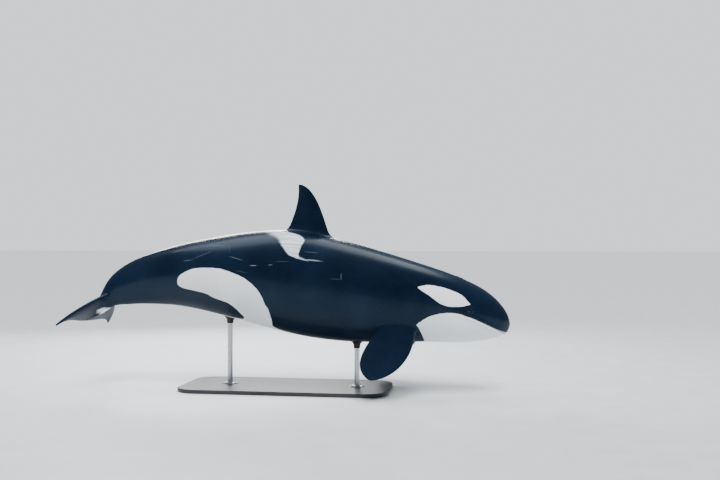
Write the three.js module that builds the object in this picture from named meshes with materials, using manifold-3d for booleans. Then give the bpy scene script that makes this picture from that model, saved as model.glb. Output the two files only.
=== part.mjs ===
// An orca, swimming, as a life-size display model on a low stand.
// Millimetres, +Z up, head toward +X, right side toward -Y, origin on the floor under the middle.
// The body is one smooth form along a bent spine, parted by thin cuts. Fins grow from its surface.

import * as THREE from 'three';
import { mergeVertices } from 'three/addons/utils/BufferGeometryUtils.js';
import Module from 'manifold-3d';

const wasm = await Module();
wasm.setup();

// Whole animal
const bodyLength = 5900; // from the snout to the notch of the flukes, along the spine
const spineMiddle = { x: -16, z: 1413 }; // the spine at half the body's length
const seam = 0.3; // gap between parts that touch
const tiny = 0.01; // points nearer than this are one point
const sliver = 0.06; // faces thinner than this, left by a cut, are cleared away
const scrap = 1e6; // pieces of the body smaller than this, in cubic millimetres, are left out
const halvings = 30; // steps of a search by halving

// Stations along the body: place as a fraction of the length, half depth, half width,
// pitch of the spine toward the head in degrees, and how full the section is above and below
const bodyStations = [
  { at: 0.0, deep: 0, wide: 0, pitch: -24, above: 2.0, below: 2.1 },
  { at: 0.04, deep: 258, wide: 240, pitch: -21, above: 2.0, below: 2.2 },
  { at: 0.08, deep: 358, wide: 332, pitch: -15.5, above: 2.0, below: 2.4 },
  { at: 0.13, deep: 424, wide: 402, pitch: -12, above: 2.05, below: 2.4 },
  { at: 0.2, deep: 497, wide: 480, pitch: -8.3, above: 2.1, below: 2.3 },
  { at: 0.28, deep: 575, wide: 538, pitch: -8, above: 2.15, below: 2.2 },
  { at: 0.36, deep: 636, wide: 566, pitch: -9.2, above: 2.15, below: 2.2 },
  { at: 0.45, deep: 668, wide: 568, pitch: -11.2, above: 2.1, below: 2.15 },
  { at: 0.52, deep: 645, wide: 548, pitch: -6.3, above: 2.0, below: 2.1 },
  { at: 0.6, deep: 572, wide: 484, pitch: -2.6, above: 1.95, below: 2.0 },
  { at: 0.68, deep: 479, wide: 390, pitch: -0.5, above: 1.9, below: 1.9 },
  { at: 0.76, deep: 388, wide: 282, pitch: 6, above: 1.8, below: 1.8 },
  { at: 0.83, deep: 315, wide: 196, pitch: 13, above: 1.7, below: 1.7 },
  { at: 0.89, deep: 226, wide: 130, pitch: 28, above: 1.7, below: 1.7 },
  { at: 0.925, deep: 132, wide: 92, pitch: 45, above: 1.8, below: 1.8 },
  { at: 0.955, deep: 84, wide: 62, pitch: 44, above: 2.0, below: 2.0 },
  { at: 0.985, deep: 0, wide: 0, pitch: 40, above: 2.0, below: 2.0 },
];
const bodyRings = 60;
const bodySides = 40;
const ringCrowding = 1.4; // rings stand closer together toward the snout
const spineSteps = 400;

// Cuts across the body, as fractions of the length
const neckCut = 0.165;
const waistCut = 0.41;
const ventCut = 0.66;

// Mouth: the line from its corner to the front, in the animal's own upright plane
const mouthLine = [
  { x: 2316, z: 1004 },
  { x: 2424, z: 972 },
  { x: 2584, z: 894 },
  { x: 2724, z: 820 },
  { x: 2814, z: 775 },
  { x: 2944, z: 710 },
];
const jawHinge = [
  { x: 2274, z: 930 },
  { x: 2214, z: 500 },
];
const bandSteps = 30; // steps along the cut of the mouth
const lip = { radius: 13, apart: 17, sunk: 6, parting: 4, steps: 16, sides: 6 };
const mouthGroove = { tall: 16, deep: 12 };

// Eyes: place on the head, ball, and how far the rim of the lids reaches along and up
const eye = { x: 2382, z: 1062, radius: 33, proud: 8, lidLong: 36, lidTall: 25, sides: 14, rows: 10 };
const lid = { thick: 9, steps: 20, sides: 8 };

// Blowhole: a crescent slit on top of the head
const blowhole = { at: 0.128, radius: 62, slit: 9, turn: 150, steps: 14, sides: 8 };

// Dorsal fin, in the plane of the back: x forward from the middle of its base, y up from the back
const dorsal = {
  at: 0.467, pitch: -8, thick: 96, sunk: 110, flare: 0.5,
  lead: [[290, 0], [145, 250], [5, 585], [-218, 600]],
  trail: [[-280, 0], [-190, 160], [-165, 360], [-218, 600]],
};

// Flipper: x toward its leading edge, y out to its tip. The left one trails further back.
const flipper = {
  at: 0.232, side: 0.69, sunk: 150, thick: 92, flare: 0.5,
  right: { back: 13, out: 46 }, left: { back: 23, out: 48 }, twist: -10,
  lead: [[215, 0], [360, 330], [185, 790], [-75, 855]],
  trail: [[-215, 0], [-215, 220], [-440, 740], [-75, 855]],
};

// Fluke: x forward from the notch, y out to the tip, in a plane that dips aft and rolls a little
const fluke = {
  dip: 46, roll: 5, thick: 110, flare: 0.2,
  lead: [[540, 0], [440, 240], [205, 620], [-85, 700]],
  trail: [[15, 0], [-55, 200], [125, 490], [-85, 700]],
};

// All fins: how their sections run from the leading edge to the trailing one, and from root to tip
const finRows = 13;
const finColumns = 9;
const finCrowding = 1.3; // rows stand closer together toward the tip
const finThickest = 1 / 3; // where along the chord a section is thickest
const finEdge = 0.16; // share of a fin's thickness that its round trailing edge keeps
const finTaper = 0.82; // share of the root's thickness that is lost at the tip
const finFlareReach = 0.05; // share of the span over which the root flares

// Stand
const base = { long: 2700, wide: 1200, thick: 50, corner: 260, cornerSteps: 8, bevel: 8 };
const rod = {
  radius: 34, top: 900, frontX: 930, rearX: -760, sides: 28,
  foot: 95, footThick: 14, edge: 4, weld: 8,
};

// Colours
const skinBlack = { color: 0x0c1118, roughness: 0.32, metalness: 0 };
const skinWhite = { color: 0xe9eef0, roughness: 0.35, metalness: 0 };
const eyeBrown = { color: 0x120b08, roughness: 0.1, metalness: 0 };
const darkBase = { color: 0x24262a, roughness: 0.55, metalness: 0 };
const steel = { color: 0xb4b6b8, roughness: 0.3, metalness: 1 };

// One column of the stations on a smooth curve through them all
function along(column, fraction, power = 1) {
  const rows = bodyStations;
  const last = rows.length - 1;
  const t = THREE.MathUtils.clamp(fraction, rows[0].at, rows[last].at);
  let i = 0;
  while (i < last - 1 && t > rows[i + 1].at) i++;
  const value = (k) => rows[THREE.MathUtils.clamp(k, 0, last)][column] ** power;
  const place = (k) => rows[THREE.MathUtils.clamp(k, 0, last)].at;
  const slope = (k) => (value(k + 1) - value(k - 1)) / (place(k + 1) - place(k - 1));
  const span = place(i + 1) - place(i);
  const u = (t - place(i)) / span;
  const rise = value(i + 1) - value(i);
  const start = slope(i) * span;
  const end = slope(i + 1) * span;
  return value(i) + u * (start + u * (3 * rise - 2 * start - end + u * (start + end - 2 * rise)));
}

// The spine as points at equal steps, set out both ways from its middle
function makeSpine() {
  const step = bodyLength / spineSteps;
  const points = [new THREE.Vector3()];
  for (let i = 0; i < spineSteps; i++) {
    const pitch = THREE.MathUtils.degToRad(along('pitch', (i + 0.5) / spineSteps));
    const next = points[i].clone();
    next.x -= step * Math.cos(pitch);
    next.z -= step * Math.sin(pitch);
    points.push(next);
  }
  const middle = points[spineSteps / 2].clone();
  const shift = new THREE.Vector3(spineMiddle.x - middle.x, 0, spineMiddle.z - middle.z);
  points.forEach((point) => point.add(shift));
  return points;
}

const spine = makeSpine();

function spineAt(fraction) {
  const place = THREE.MathUtils.clamp(fraction, 0, 1) * spineSteps;
  const i = Math.min(Math.floor(place), spineSteps - 1);
  return spine[i].clone().lerp(spine[i + 1], place - i);
}

// Turn from a section's own frame (x toward the head, z up) to the animal's
function sectionTurn(fraction) {
  return new THREE.Euler(0, -THREE.MathUtils.degToRad(along('pitch', fraction)), 0);
}

// Half sizes and fullness of the section at a fraction of the length
function sectionAt(fraction, grow = 0) {
  return {
    deep: Math.sqrt(Math.max(0, along('deep', fraction, 2))) + grow,
    wide: Math.sqrt(Math.max(0, along('wide', fraction, 2))) + grow,
    above: along('above', fraction),
    below: along('below', fraction),
  };
}

// A point of the skin: turn is 0 at the back and half a turn at the belly, over the left side
function skinPoint(fraction, turn, grow = 0) {
  const section = sectionAt(fraction, grow);
  const angle = 2 * Math.PI * turn;
  const up = Math.cos(angle);
  const out = Math.sin(angle);
  const full = up > 0 ? section.above : section.below;
  const local = new THREE.Vector3(
    0,
    section.wide * Math.sign(out) * Math.abs(out) ** (2 / full),
    section.deep * Math.sign(up) * Math.abs(up) ** (2 / full),
  );
  return local.applyEuler(sectionTurn(fraction)).add(spineAt(fraction));
}

// The fraction of the length whose section holds a place in the upright plane, found by halving
function fractionOf(x, z) {
  let headward = 0;
  let tailward = 1;
  for (let i = 0; i < halvings; i++) {
    const middle = (headward + tailward) / 2;
    const toHead = new THREE.Vector3(1, 0, 0).applyEuler(sectionTurn(middle));
    const centre = spineAt(middle);
    const ahead = (x - centre.x) * toHead.x + (z - centre.z) * toHead.z;
    if (ahead > 0) tailward = middle;
    else headward = middle;
  }
  return (headward + tailward) / 2;
}

// How far out the skin stands from the upright plane at a height in it
function halfWidthAt(x, z, grow = 0) {
  const fraction = fractionOf(x, z);
  const section = sectionAt(fraction, grow);
  const up = new THREE.Vector3(0, 0, 1).applyEuler(sectionTurn(fraction));
  const centre = spineAt(fraction);
  const height = (x - centre.x) * up.x + (z - centre.z) * up.z;
  const full = height > 0 ? section.above : section.below;
  const share = Math.min(1, Math.abs(height) / Math.max(section.deep, 1));
  return section.wide * (1 - share ** full) ** (1 / full);
}

// Outward direction of the right side of the skin at a place in the upright plane
function skinNormal(x, z) {
  const reach = eye.lidTall;
  const slopeX = (halfWidthAt(x + reach, z) - halfWidthAt(x - reach, z)) / (2 * reach);
  const slopeZ = (halfWidthAt(x, z + reach) - halfWidthAt(x, z - reach)) / (2 * reach);
  return new THREE.Vector3(-slopeX, -1, -slopeZ).normalize();
}

// A closed shell over rings of equal count, each end drawn to one point.
// Both halves of a ring are split alike, so opposite faces of a thin fin stay apart.
function shellOver(rings, first, last) {
  const count = rings[0].length;
  const points = [first, ...rings.flat(), last];
  const faces = [];
  const at = (row, column) => 1 + row * count + (column % count);
  for (let column = 0; column < count; column++) {
    faces.push([0, at(0, column + 1), at(0, column)]);
    faces.push([points.length - 1, at(rings.length - 1, column), at(rings.length - 1, column + 1)]);
  }
  for (let row = 0; row + 1 < rings.length; row++) {
    for (let column = 0; column < count; column++) {
      const corners = [at(row, column), at(row, column + 1), at(row + 1, column + 1), at(row + 1, column)];
      const [a, b, c, d] = corners;
      if (column < count / 2) faces.push([a, b, c], [a, c, d]);
      else faces.push([a, b, d], [b, c, d]);
    }
  }
  const geometry = new THREE.BufferGeometry();
  geometry.setAttribute('position', new THREE.Float32BufferAttribute(
    points.flatMap((point) => [point.x, point.y, point.z]), 3));
  geometry.setIndex(faces.flat());
  return geometry;
}

// A closed solid from a geometry, with its faces turned outward
function solidOf(geometry) {
  const bare = geometry.clone();
  bare.deleteAttribute('normal');
  bare.deleteAttribute('uv');
  const merged = mergeVertices(bare, tiny);
  const index = merged.index.array;
  const kept = [];
  for (let i = 0; i < index.length; i += 3) {
    const [a, b, c] = [index[i], index[i + 1], index[i + 2]];
    if (a !== b && b !== c && a !== c) kept.push(a, b, c);
  }
  const build = (triangles) => new wasm.Manifold(new wasm.Mesh({
    numProp: 3,
    vertProperties: new Float32Array(merged.attributes.position.array),
    triVerts: new Uint32Array(triangles),
  }));
  const solid = build(kept);
  return solid.volume() > 0 ? solid : build(kept.reverse());
}

// The largest closed surface of a solid, which drops loose scraps
function largest(solid) {
  return solid.decompose().sort((a, b) => b.volume() - a.volume())[0];
}

function geometryOf(solid) {
  const mesh = solid.simplify(sliver).getMesh();
  const geometry = new THREE.BufferGeometry();
  geometry.setAttribute('position', new THREE.BufferAttribute(new Float32Array(mesh.vertProperties), 3));
  geometry.setIndex(new THREE.BufferAttribute(new Uint32Array(mesh.triVerts), 1));
  geometry.computeVertexNormals();
  return geometry;
}

// The whole body without fins, grown outward by a distance
function bodySolid(grow = 0) {
  const tailEnd = bodyStations[bodyStations.length - 1].at;
  const rings = [];
  for (let row = 1; row < bodyRings; row++) {
    const fraction = tailEnd * (row / bodyRings) ** ringCrowding;
    const ring = [];
    for (let side = 0; side < bodySides; side++) ring.push(skinPoint(fraction, side / bodySides, grow));
    rings.push(ring);
  }
  return solidOf(shellOver(rings, spineAt(0), spineAt(tailEnd)));
}

// A thin plate across the body, square to the spine
function cutAcross(fraction) {
  const plate = new THREE.BoxGeometry(seam, bodyLength / 3, bodyLength / 3);
  const centre = spineAt(fraction);
  plate.applyMatrix4(new THREE.Matrix4().makeRotationFromEuler(sectionTurn(fraction)));
  plate.translate(centre.x, centre.y, centre.z);
  return solidOf(plate);
}

// A band of even height on both sides of a line in the upright plane, right across the head
function bandAlong(line, tall) {
  const curve = new THREE.SplineCurve(line.map((point) => new THREE.Vector2(point.x, point.z)));
  const points = curve.getPoints(bandSteps);
  const edge = (side) => points.map((point, i) => {
    const before = points[Math.max(0, i - 1)];
    const after = points[Math.min(points.length - 1, i + 1)];
    const way = after.clone().sub(before).normalize();
    return new THREE.Vector2(point.x - way.y * side * tall / 2, point.y + way.x * side * tall / 2);
  });
  const across = bodyLength / 4;
  const shape = new THREE.Shape([...edge(1), ...edge(-1).reverse()]);
  const band = new THREE.ExtrudeGeometry(shape, { depth: across, bevelEnabled: false });
  band.rotateX(Math.PI / 2);
  band.translate(0, across / 2, 0);
  return solidOf(band);
}

// A lip's middle line, sunk a little in the skin, from the right corner round the front to the left
function lipLine(rise) {
  const line = new THREE.SplineCurve(mouthLine.map((point) => new THREE.Vector2(point.x, point.z)));
  const placeAt = (u) => {
    const point = line.getPoint(u);
    const halfWidth = halfWidthAt(point.x, point.y + rise, -lip.sunk);
    return new THREE.Vector3(point.x, halfWidth, point.y + rise);
  };
  let inside = 0;
  let outside = 1;
  for (let i = 0; i < halvings; i++) {
    const middle = (inside + outside) / 2;
    if (placeAt(middle).y > 0) inside = middle;
    else outside = middle;
  }
  const points = [];
  for (let i = -lip.steps; i <= lip.steps; i++) {
    const point = placeAt(inside * Math.cos((Math.PI / 2) * (i / lip.steps)));
    points.push(new THREE.Vector3(point.x, Math.sign(i) * point.y, point.z));
  }
  return points;
}

// A tube through points, drawn in to a point over a third of its length at both ends
function taperedTube(points, radius, sides) {
  const curve = new THREE.CatmullRomCurve3(points);
  const rings = [];
  const steps = points.length - 1;
  for (let i = 1; i < steps; i++) {
    const u = i / steps;
    const way = curve.getTangentAt(u);
    const centre = curve.getPointAt(u);
    const up = new THREE.Vector3(0, 0, 1);
    const outward = new THREE.Vector3().crossVectors(way, up).normalize();
    up.crossVectors(outward, way).normalize();
    const thick = radius * Math.sqrt(Math.min(1, 3 * Math.min(u, 1 - u)));
    const ring = [];
    for (let side = 0; side < sides; side++) {
      const angle = (2 * Math.PI * side) / sides;
      ring.push(centre.clone()
        .addScaledVector(up, thick * Math.cos(angle))
        .addScaledVector(outward, thick * Math.sin(angle)));
    }
    rings.push(ring);
  }
  return solidOf(shellOver(rings, curve.getPointAt(0), curve.getPointAt(1)));
}

// A fin in its own frame: x toward the leading edge, y out to the tip, z through its thickness
function finSolid(plan) {
  const asCurve = (edge) => {
    const points = edge.map(([x, y]) => new THREE.Vector2(x, y));
    return new THREE.CubicBezierCurve(...points);
  };
  const lead = asCurve(plan.lead);
  const trail = asCurve(plan.trail);
  const ringAt = (s, drop) => {
    const front = lead.getPoint(s);
    const back = trail.getPoint(s);
    const thick = plan.thick * (1 - finTaper * s) * (1 + plan.flare * Math.exp(-s / finFlareReach));
    const face = [];
    for (let i = 0; i <= finColumns; i++) {
      const c = (1 - Math.cos((Math.PI * i) / finColumns)) / 2;
      const teardrop = Math.sqrt(c / finThickest) * (1 - c) / (1 - finThickest);
      const round = Math.sqrt(Math.max(0, 4 * c * (1 - c)));
      const half = (thick / 2) * (teardrop * (1 - finEdge) + round * finEdge);
      const place = front.clone().lerp(back, c);
      face.push(new THREE.Vector3(place.x, place.y - drop, half));
    }
    const far = face.slice(1, -1).reverse().map((point) => new THREE.Vector3(point.x, point.y, -point.z));
    return [...face, ...far];
  };
  const rings = plan.sunk ? [ringAt(0, plan.sunk)] : [];
  for (let row = 0; row < finRows; row++) rings.push(ringAt(1 - (1 - row / finRows) ** finCrowding, 0));
  const root = new THREE.Vector3();
  rings[0].forEach((point) => root.addScaledVector(point, 1 / rings[0].length));
  const tip = lead.getPoint(1);
  return shellOver(rings, root, new THREE.Vector3(tip.x, tip.y, 0));
}

// Places a fin: its leading edge's direction, its direction outward, and its root
function placed(geometry, toLead, outward, root) {
  const span = outward.clone().normalize();
  const normal = new THREE.Vector3().crossVectors(toLead, span).normalize();
  const chord = new THREE.Vector3().crossVectors(span, normal);
  const frame = new THREE.Matrix4().makeBasis(chord, span, normal).setPosition(root);
  return geometry.clone().applyMatrix4(frame);
}

function mirrored(solid) {
  return solid.mirror([0, 1, 0]);
}

function makeDorsal(clearance) {
  const turn = new THREE.Euler(0, -THREE.MathUtils.degToRad(dorsal.pitch), 0);
  const forward = new THREE.Vector3(1, 0, 0).applyEuler(turn);
  const up = new THREE.Vector3(0, 0, 1).applyEuler(turn);
  const solid = solidOf(placed(finSolid(dorsal), forward, up, skinPoint(dorsal.at, 0)));
  return largest(solid.subtract(clearance));
}

// A flipper hangs back and out from the lower flank: side is -1 for the right and 1 for the left
function makeFlipper(side, hang, clearance) {
  const root = skinPoint(flipper.at, (side * flipper.side) / 2);
  const out = THREE.MathUtils.degToRad(hang.out);
  const back = THREE.MathUtils.degToRad(hang.back);
  const twist = -side * THREE.MathUtils.degToRad(flipper.twist);
  const span = new THREE.Vector3(
    -Math.sin(back), side * Math.cos(back) * Math.sin(out), -Math.cos(back) * Math.cos(out));
  const toLead = new THREE.Vector3(1, 0, 0).applyAxisAngle(span, twist);
  return largest(solidOf(placed(finSolid(flipper), toLead, span, root)).subtract(clearance));
}

// One fluke from the middle of the tail out: side is -1 for the right and 1 for the left
function makeFluke(side, clearance) {
  const dip = new THREE.Euler(0, -THREE.MathUtils.degToRad(fluke.dip), 0);
  const forward = new THREE.Vector3(1, 0, 0).applyEuler(dip);
  const roll = -THREE.MathUtils.degToRad(fluke.roll);
  const outward = new THREE.Vector3(0, side, 0).applyAxisAngle(forward, roll);
  const root = spineAt(1).addScaledVector(outward, seam / 2);
  return largest(solidOf(placed(finSolid(fluke), forward, outward, root)).subtract(clearance));
}

// The ball of the right eye, a little proud of the skin
function makeEye(grow = 0) {
  const outward = skinNormal(eye.x, eye.z);
  const centre = new THREE.Vector3(eye.x, -halfWidthAt(eye.x, eye.z), eye.z)
    .addScaledVector(outward, eye.proud - eye.radius);
  const ball = new THREE.SphereGeometry(eye.radius + grow, eye.sides, eye.rows);
  ball.translate(centre.x, centre.y, centre.z);
  return solidOf(ball);
}

// The rim of the lids round the right eye, an almond that follows the skin
function makeLids() {
  const normal = skinNormal(eye.x, eye.z);
  const rings = [];
  for (let i = 0; i < lid.steps; i++) {
    const angle = (2 * Math.PI * i) / lid.steps;
    const rise = Math.sin(angle) * Math.sqrt(Math.abs(Math.sin(angle)));
    const x = eye.x + Math.cos(angle) * eye.lidLong;
    const z = eye.z + rise * eye.lidTall;
    const centre = new THREE.Vector3(x, -halfWidthAt(x, z), z);
    const outward = new THREE.Vector3(x - eye.x, 0, z - eye.z);
    outward.addScaledVector(normal, -outward.dot(normal)).normalize();
    const ring = [];
    for (let side = 0; side < lid.sides; side++) {
      const turn = (2 * Math.PI * side) / lid.sides;
      ring.push(centre.clone()
        .addScaledVector(outward, lid.thick * Math.cos(turn))
        .addScaledVector(normal, lid.thick * Math.sin(turn)));
    }
    rings.push(ring);
  }
  return solidOf(closedLoop(rings));
}

// A ring-shaped shell over rings that come back to the first
function closedLoop(rings) {
  const count = rings[0].length;
  const points = rings.flat();
  const faces = [];
  for (let row = 0; row < rings.length; row++) {
    for (let column = 0; column < count; column++) {
      const next = (row + 1) % rings.length;
      const a = row * count + column;
      const b = row * count + ((column + 1) % count);
      const c = next * count + ((column + 1) % count);
      const d = next * count + column;
      faces.push(a, b, c, a, c, d);
    }
  }
  const geometry = new THREE.BufferGeometry();
  geometry.setAttribute('position', new THREE.Float32BufferAttribute(
    points.flatMap((point) => [point.x, point.y, point.z]), 3));
  geometry.setIndex(faces);
  return geometry;
}

// The crescent slit of the blowhole, open toward the snout
function blowholeSlit() {
  const half = THREE.MathUtils.degToRad(blowhole.turn / 2);
  const points = [];
  for (let i = 0; i <= blowhole.steps; i++) {
    const angle = Math.PI - half + (2 * half * i) / blowhole.steps;
    const fraction = blowhole.at - (blowhole.radius * (Math.cos(angle) + 1)) / bodyLength;
    const section = sectionAt(fraction);
    const side = (blowhole.radius * Math.sin(angle)) / section.wide;
    const turn = Math.asin(Math.sign(side) * Math.abs(side) ** (section.above / 2)) / (2 * Math.PI);
    points.push(skinPoint(fraction, turn));
  }
  return taperedTube(points, blowhole.slit, blowhole.sides);
}

function makeBase() {
  const halfLong = base.long / 2 - base.bevel;
  const halfWide = base.wide / 2 - base.bevel;
  const round = base.corner;
  const shape = new THREE.Shape();
  shape.absarc(halfLong - round, halfWide - round, round, 0, Math.PI / 2);
  shape.absarc(round - halfLong, halfWide - round, round, Math.PI / 2, Math.PI);
  shape.absarc(round - halfLong, round - halfWide, round, Math.PI, Math.PI * 1.5);
  shape.absarc(halfLong - round, round - halfWide, round, Math.PI * 1.5, Math.PI * 2);
  shape.closePath();
  const plate = new THREE.ExtrudeGeometry(shape, {
    depth: base.thick - 2 * base.bevel, curveSegments: base.cornerSteps,
    bevelSize: base.bevel, bevelThickness: base.bevel, bevelSegments: 1,
  });
  plate.translate(0, 0, base.bevel);
  return solidOf(plate);
}

// A rod with a round foot on the base, cut to the belly
function makeRod(x, clearance) {
  const { radius, foot, footThick, edge, weld } = rod;
  const profile = [
    [0, 0], [foot, 0], [foot, footThick - edge], [foot - edge, footThick],
    [radius + weld, footThick], [radius, footThick + weld], [radius, rod.top], [0, rod.top],
  ].map(([r, z]) => new THREE.Vector2(r, z));
  const turned = new THREE.LatheGeometry(profile, rod.sides);
  turned.rotateX(Math.PI / 2);
  turned.translate(x, 0, base.thick + seam);
  return largest(solidOf(turned).subtract(clearance));
}

const orca = new THREE.Group();

function addPart(name, solid, look) {
  const part = new THREE.Mesh(geometryOf(solid), new THREE.MeshStandardMaterial(look));
  part.name = name;
  orca.add(part);
}

// Body, parted by cuts across it and along the mouth
const whole = bodySolid();
const clearance = bodySolid(seam);
const mouthCut = bandAlong([...jawHinge].reverse().concat(mouthLine), seam);
const cuts = [neckCut, waistCut, ventCut].map(cutAcross).concat(mouthCut);
const pieces = cuts.reduce((body, cut) => body.subtract(cut), whole).decompose();
const middleOf = (solid) => {
  const box = solid.boundingBox();
  return (box.min[0] + box.max[0]) / 2;
};
const [jaw, skull, chest, belly, tail] = pieces
  .filter((piece) => piece.volume() > scrap)
  .sort((a, b) => middleOf(b) - middleOf(a));

const groove = bandAlong(mouthLine, mouthGroove.tall).subtract(bodySolid(-mouthGroove.deep));
const parting = bandAlong(mouthLine, lip.parting);
const upperLip = largest(taperedTube(lipLine(lip.apart), lip.radius, lip.sides).subtract(parting));
const lowerLip = largest(taperedTube(lipLine(-lip.apart), lip.radius, lip.sides).subtract(parting));
const socket = makeEye(seam);
const lids = makeLids();
let head = skull.subtract(groove).add(upperLip);
for (const side of [lids, mirrored(lids)]) head = head.add(side);
for (const side of [socket, mirrored(socket)]) head = head.subtract(side);
head = head.subtract(blowholeSlit());

addPart('head', largest(head), skinBlack);
addPart('lower_jaw', largest(jaw.subtract(groove).add(lowerLip)), skinWhite);
addPart('chest', chest, skinBlack);
addPart('belly', belly, skinBlack);
addPart('tail', tail, skinBlack);
addPart('dorsal_fin', makeDorsal(clearance), skinBlack);

addPart('flipper_right', makeFlipper(-1, flipper.right, clearance), skinBlack);
addPart('flipper_left', makeFlipper(1, flipper.left, clearance), skinBlack);
addPart('fluke_right', makeFluke(-1, clearance), skinBlack);
addPart('fluke_left', makeFluke(1, clearance), skinBlack);
const eyeRight = makeEye();
addPart('eye_right', eyeRight, eyeBrown);
addPart('eye_left', mirrored(eyeRight), eyeBrown);

addPart('stand_base', makeBase(), darkBase);
addPart('stand_rod_front', makeRod(rod.frontX, clearance), steel);
addPart('stand_rod_rear', makeRod(rod.rearX, clearance), steel);

export default orca;
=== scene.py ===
import math

import bmesh
import bpy
import numpy as np
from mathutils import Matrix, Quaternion, Vector
from mathutils.bvhtree import BVHTree


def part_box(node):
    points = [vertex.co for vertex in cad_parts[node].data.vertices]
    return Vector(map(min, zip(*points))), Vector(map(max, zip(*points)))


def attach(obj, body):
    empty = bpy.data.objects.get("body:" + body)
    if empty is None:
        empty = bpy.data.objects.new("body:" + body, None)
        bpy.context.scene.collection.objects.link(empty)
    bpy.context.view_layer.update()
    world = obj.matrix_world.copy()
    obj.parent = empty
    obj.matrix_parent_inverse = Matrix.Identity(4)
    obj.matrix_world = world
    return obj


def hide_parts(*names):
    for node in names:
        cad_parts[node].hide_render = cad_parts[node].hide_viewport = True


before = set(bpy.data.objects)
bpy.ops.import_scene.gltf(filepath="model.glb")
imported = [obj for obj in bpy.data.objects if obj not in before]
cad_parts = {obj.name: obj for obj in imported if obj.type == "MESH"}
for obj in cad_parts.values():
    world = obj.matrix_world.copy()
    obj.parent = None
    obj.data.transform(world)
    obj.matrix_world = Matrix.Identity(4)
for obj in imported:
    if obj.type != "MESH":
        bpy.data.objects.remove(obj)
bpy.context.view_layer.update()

# An orca on a low display stand, in metres: head toward +X, its right side toward -Y.
studio = bpy.context.scene


# Body: the same stations along the spine as the solid, with a flatter end that runs into the flukes
body = {
    "length": 5.9,
    "middle": (-0.016, 1.413),  # x and z of the spine at half its length
    "steps": 400,
    "rings": 80,
    "sides": 36,
    "crowding": 0.3,  # rings stand closer together toward both ends
    "firstRing": 0.003,
    "lastRing": 0.9924,
    "smoothing": 2,
}
# share of the length, half depth and half width, pitch of the spine in degrees, fullness above and below
stations = [
    (0.0, 0, 0, -24, 2.0, 2.1),
    (0.04, 0.258, 0.24, -21, 2.0, 2.2),
    (0.08, 0.358, 0.332, -15.5, 2.0, 2.4),
    (0.13, 0.424, 0.402, -12, 2.05, 2.4),
    (0.2, 0.497, 0.48, -8.3, 2.1, 2.3),
    (0.28, 0.575, 0.538, -8, 2.15, 2.2),
    (0.36, 0.636, 0.566, -9.2, 2.15, 2.2),
    (0.45, 0.668, 0.568, -11.2, 2.1, 2.15),
    (0.52, 0.645, 0.548, -6.3, 2.0, 2.1),
    (0.6, 0.572, 0.484, -2.6, 1.95, 2.0),
    (0.68, 0.479, 0.39, -0.5, 1.9, 1.9),
    (0.76, 0.388, 0.282, 6, 1.8, 1.8),
    (0.83, 0.315, 0.196, 13, 1.7, 1.7),
    (0.89, 0.226, 0.13, 28, 1.7, 1.7),
    (0.925, 0.132, 0.092, 45, 1.8, 1.8),
    (0.955, 0.084, 0.068, 44, 2.0, 2.0),
    (0.985, 0.034, 0.06, 40, 2.0, 2.0),
    (1.0, 0.01, 0.055, 40, 2.0, 2.0),
]
deep, wide, pitch, above, below = 1, 2, 3, 4, 5
tiny, tinier = 1e-6, 1e-12  # added where a division could meet zero


def along(column, fraction, power=1):
    # one column of the stations on a smooth curve through them all
    last = len(stations) - 1
    t = min(max(fraction, 0), 1)
    i = 0
    while i < last - 1 and t > stations[i + 1][0]:
        i += 1
    held = lambda k: min(max(k, 0), last)
    value = lambda k: stations[held(k)][column] ** power
    slope = lambda k: (value(k + 1) - value(k - 1)) / (stations[held(k + 1)][0] - stations[held(k - 1)][0])
    span = stations[i + 1][0] - stations[i][0]
    u = (t - stations[i][0]) / span
    rise = value(i + 1) - value(i)
    start, end = slope(i) * span, slope(i + 1) * span
    return value(i) + u * (start + u * (3 * rise - 2 * start - end + u * (start + end - 2 * rise)))


def makeSpine():
    step = body["length"] / body["steps"]
    points = [(0.0, 0.0)]
    for i in range(body["steps"]):
        angle = math.radians(along(pitch, (i + 0.5) / body["steps"]))
        x, z = points[-1]
        points.append((x - step * math.cos(angle), z - step * math.sin(angle)))
    middle = points[body["steps"] // 2]
    return [(x - middle[0] + body["middle"][0], z - middle[1] + body["middle"][1]) for x, z in points]


spine = makeSpine()
shares = [i / body["steps"] for i in range(body["steps"] + 1)]
spineTable = {
    "x": [point[0] for point in spine],
    "z": [point[1] for point in spine],
    "turn": [math.radians(along(pitch, share)) for share in shares],
    "deep": [math.sqrt(max(0, along(deep, share, 2))) for share in shares],
    "wide": [math.sqrt(max(0, along(wide, share, 2))) for share in shares],
    "above": [along(above, share) for share in shares],
    "below": [along(below, share) for share in shares],
}


def readSpine(name, fraction):
    return np.interp(fraction, shares, spineTable[name])


def fullness(fraction, isAbove):
    return np.where(isAbove, readSpine("above", fraction), readSpine("below", fraction))


def skinPoints(fraction, turn):
    # turn is 0 at the back and half a turn at the belly, over the left side
    up, out = np.cos(2 * np.pi * turn), np.sin(2 * np.pi * turn)
    full = fullness(fraction, up > 0)
    y = readSpine("wide", fraction) * np.sign(out) * np.abs(out) ** (2 / full)
    h = readSpine("deep", fraction) * np.sign(up) * np.abs(up) ** (2 / full)
    lean = readSpine("turn", fraction)
    x, z = readSpine("x", fraction) - h * np.sin(lean), readSpine("z", fraction) + h * np.cos(lean)
    return np.stack([x, y, z], axis=-1)


def skinPoint(fraction, turn):
    return Vector(skinPoints(np.float64(fraction), np.float64(turn)))


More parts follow.
